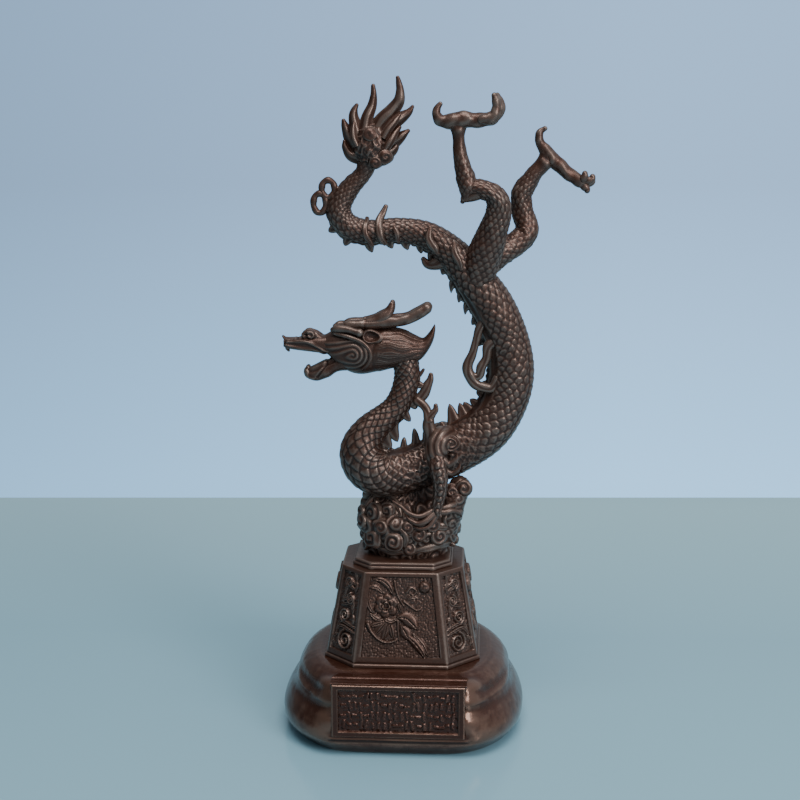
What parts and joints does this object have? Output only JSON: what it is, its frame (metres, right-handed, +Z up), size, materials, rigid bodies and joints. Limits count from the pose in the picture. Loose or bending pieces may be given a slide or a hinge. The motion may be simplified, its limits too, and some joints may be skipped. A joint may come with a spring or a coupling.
{
  "type": "dragon sculpture",
  "caption": "Desk-size cast sculpture of a rearing dragon on clouds, its tail and hind legs raised, on a tapered eight-sided plinth and a wide rounded foot with a framed plaque.",
  "frame": {"origin": "middle of the foot's underside", "axes": "+Z up; -Y towards the plaque, the front; -X the way the dragon's head looks"},
  "size_m": [0.1616, 0.1174, 0.3398],
  "materials": {
    "figure_bronze": "satin dark brown patina, rubbed lighter on the scales' raised edges",
    "plinth_bronze": "satin reddish brown patina, dark in the sunk ground",
    "base_bronze": "smooth reddish brown patina with a soft polish"
  },
  "bodies": {
    "root": {"dragon": "figure_bronze", "plinth": "plinth_bronze", "base": "base_bronze"}
  },
  "joints": []
}
